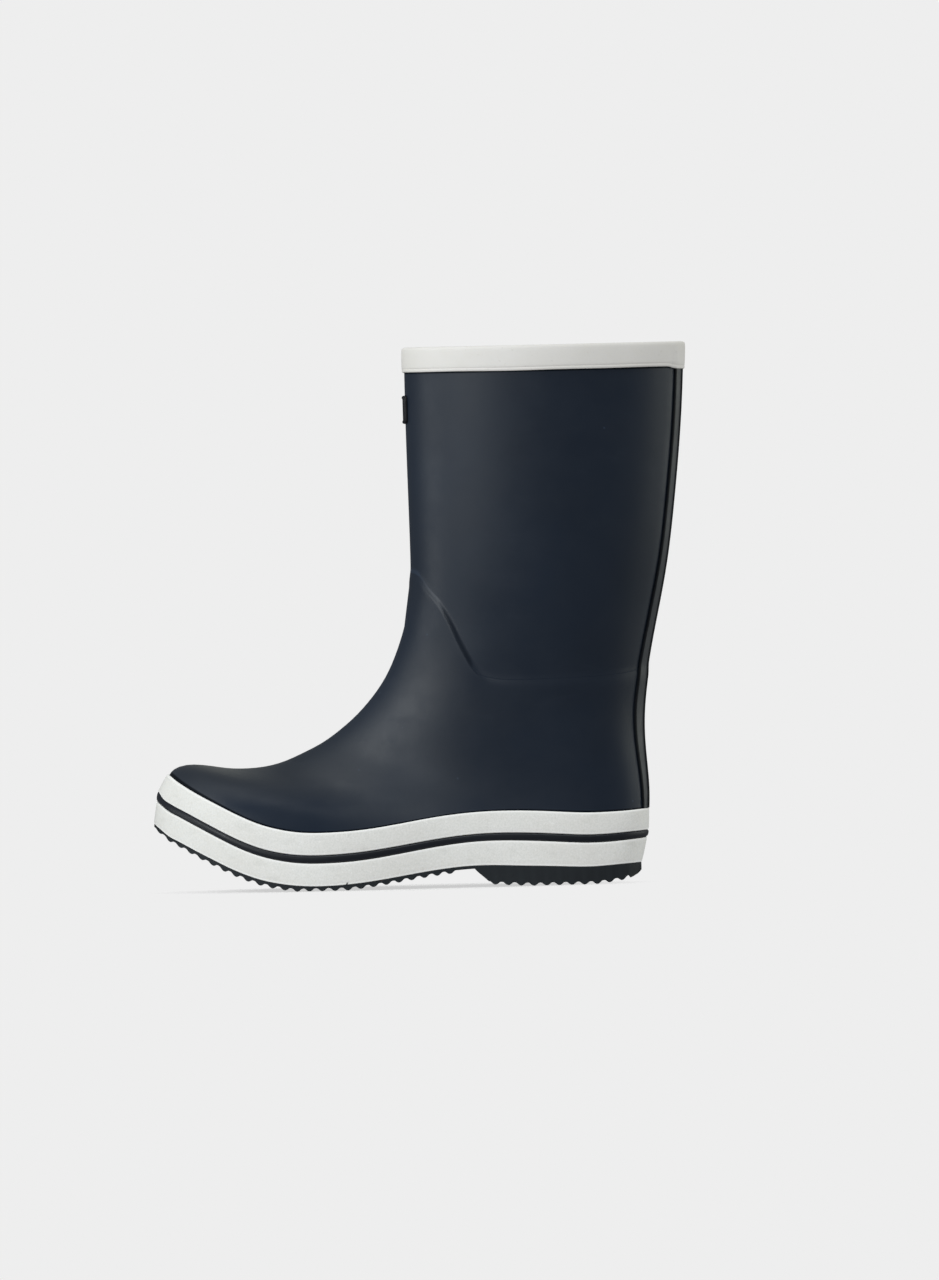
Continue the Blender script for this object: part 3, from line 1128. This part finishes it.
# ================================================================ the loose insole
def pad(node, bottom, top, crown, cup, material, slot):
    """A sole-shaped pad between two heights above the base, with a rounded edge.

    crown: how far the heel's middle is pressed down; cup: how far the heel's edge is raised.
    """
    loop = fox[:, :2] + OUTWARD * -6.7
    low, high = loop[:, 1].min(), loop[:, 1].max()
    near_end = np.array([0.9, 1.4, 2.2, 3.4, 5.0, 7.0])
    middle = np.linspace(low + 9.5, high - 9.5, 70)
    shares = 0.5 - 0.5 * np.cos(np.linspace(0, 1, 31) * math.pi)
    base_y = np.arange(-232, 60, 9.0)
    upper, lower, uv = [], [], []
    for y in np.concatenate([low + near_end, middle, high - near_end[::-1]]):
        start, end = crossings(loop, y)
        x = start + shares * (end - start)
        base = np.interp(y, base_y, base_z(base_y))
        edge = np.minimum(np.minimum(x - start, end - x), min(y - low, high - y))
        bevel = 1 - np.clip(edge / 1.4, 0, 1)
        roll = 0.55 * (1 - np.sqrt(np.clip(1 - bevel ** 2, 0, 1))) * (top - bottom)
        raised = smooth(-40, 0, y) * cup * (1 - np.clip(edge / 16, 0, 1)) ** 2
        pressed = crown * smooth(-60, -10, y) * np.clip(edge / 20, 0, 1) ** 1.5
        # a shallow hollow under the ball of the foot
        pressed = pressed + (0.35 * smooth(-190, -150, y) * smooth(-100, -135, y)
                             * np.clip(edge / 25, 0, 1))
        upper.append(points_across(x, y, base + top - pressed + raised - roll))
        lower.append(points_across(x, y, base + bottom))
        uv.append(np.column_stack(np.broadcast_arrays(x, y)))
    patch(node, upper, lower, body="loose_insole", material=material, slot=slot, sharp=55, uv=uv)


pad("insole", bottom=6.6, top=9.9, crown=0.35, cup=0.25,
    material=insole_foam, slot="insole_foam")
pad("insole_cover", bottom=10.55, top=11.25, crown=0.3, cup=0.3,
    material=insole_knit, slot="insole_knit")


# ================================================================ stage, light, camera (metres)
def pale_floor():
    """Floor material seen only in a soft oval round the boot, clear beyond it."""
    half_x, half_y, centre_y = 0.085, 0.152, -0.090
    mat = Look("pale_floor")
    x, y, z = mat.split(mat.geometry("Position"))
    across = mat.times(x, 1 / half_x)
    along = mat.times(mat.plus(y, -centre_y), 1 / half_y)
    radius = mat.math("SQRT", mat.plus(mat.times(across, across), mat.times(along, along)))
    fade = mat.ramp(radius, over=(0.58, 0.97), to=(0.32, 0.0))
    mottle = mat.noise(scale=6, detail=2)
    mat.finish(Base_Color=mat.mix(mottle, (0.80, 0.80, 0.80, 1), (0.83, 0.83, 0.83, 1)),
               Roughness=0.9, Specular_IOR_Level=0.1)
    clear = mat.tree.nodes.new("ShaderNodeBsdfTransparent")
    blend = mat.tree.nodes.new("ShaderNodeMixShader")
    for key, source in enumerate((fade, clear.outputs[0], mat.surface.outputs[0])):
        mat.put(blend, key, source)
    mat.put(mat.tree.nodes["Material Output"], "Surface", blend.outputs[0])
    return mat.material


def floor():
    half, z = 3.0, -0.0002
    corners = [(-half, -half, z), (half, -half, z), (half, half, z), (-half, half, z)]
    material = pale_floor()
    mesh = bpy.data.meshes.new("floor")
    mesh.from_pydata(corners, [], [(0, 1, 2, 3)])
    mesh.materials.append(material)
    piece = bpy.data.objects.new("floor", mesh)
    bpy.context.scene.collection.objects.link(piece)


floor()

AIM = (0.0, -0.06, 0.13)
LIGHT_DISTANCE, LIGHT_SIZE = 2.3, 0.7
FRONT_TINT, REAR_TINT = (0.968, 1.0, 0.99), (0.97, 1.0, 0.90)
# name, elevation and azimuth from +X (degrees), watts, tint
LIGHTS = [
    ("key", 24, -45, 18.0, FRONT_TINT), ("front", 24, -30, 4.6, FRONT_TINT),
    ("toe", 4, -80, 7.4, FRONT_TINT), ("top", 70, 0, 10.8, FRONT_TINT),
    ("rear", 24, 100, 8.0, REAR_TINT), ("side", 4, 85, 1.9, REAR_TINT),
    ("heel", 4, 120, 2.6, REAR_TINT), ("inner", 30, 168, 5.0, REAR_TINT)]


def lights():
    for name, elevation, azimuth, watts, tint in LIGHTS:
        rise, turn = math.radians(elevation), math.radians(azimuth)
        direction = (math.cos(rise) * math.cos(turn), math.cos(rise) * math.sin(turn),
                     math.sin(rise))
        place = [aim + LIGHT_DISTANCE * part for aim, part in zip(AIM, direction)]
        light = bpy.data.lights.new(name, "AREA")
        light.energy, light.color, light.size = watts, tint, LIGHT_SIZE
        lamp = bpy.data.objects.new(name, light)
        lamp.location = place
        toward = Vector(AIM) - Vector(place)
        lamp.rotation_euler = toward.to_track_quat("-Z", "Y").to_euler()
        bpy.context.scene.collection.objects.link(lamp)
        lamp.visible_camera = False


def studio():
    """World with its own brightness for diffuse light, for reflections and for the camera."""
    world = bpy.data.worlds.new("studio")
    bpy.context.scene.world = world
    world.use_nodes = True
    nodes, links = world.node_tree.nodes, world.node_tree.links
    nodes.clear()

    def background(colour, strength):
        node = nodes.new("ShaderNodeBackground")
        node.inputs[0].default_value, node.inputs[1].default_value = colour, strength
        return node

    def choose(ray, usual, special):
        node = nodes.new("ShaderNodeMixShader")
        for key, source in enumerate((rays.outputs[ray], usual.outputs[0], special.outputs[0])):
            links.new(source, node.inputs[key])
        return node

    room = background(colour=(0.97, 0.98, 1.0, 1), strength=0.50)
    backdrop = background(colour=(0.855, 0.855, 0.855, 1), strength=1.0)
    mirrored = background(colour=(0.90, 0.95, 1.0, 1), strength=0.16)
    rays = nodes.new("ShaderNodeLightPath")
    light = choose("Is Glossy Ray", room, mirrored)
    seen = choose("Is Camera Ray", light, backdrop)
    links.new(seen.outputs[0], nodes.new("ShaderNodeOutputWorld").inputs[0])


def camera():
    """Level view of the outer side from +X, rolled slightly."""
    distance, view_height, sensor = 6.0, 0.74091, 24.0
    roll = math.atan(0.02344)
    data = bpy.data.cameras.new("camera")
    data.sensor_fit, data.sensor_height = "VERTICAL", sensor
    data.lens = sensor * distance / view_height
    data.clip_end = 50
    right = Vector((0, math.cos(roll), -math.sin(roll)))
    up = Vector((0, math.sin(roll), math.cos(roll)))
    back = Vector((1, 0, 0))
    placing = Matrix((right, up, back)).transposed().to_4x4()
    placing.translation = Vector((distance, -0.04846, 0.14210))
    piece = bpy.data.objects.new("camera", data)
    piece.matrix_world = placing
    scene.collection.objects.link(piece)
    scene.camera = piece


scene = bpy.context.scene
lights()
studio()
scene.view_settings.view_transform = "Standard"
scene.view_settings.look = "None"
scene.view_settings.exposure = 0.0
scene.view_settings.gamma = 1.0
camera()
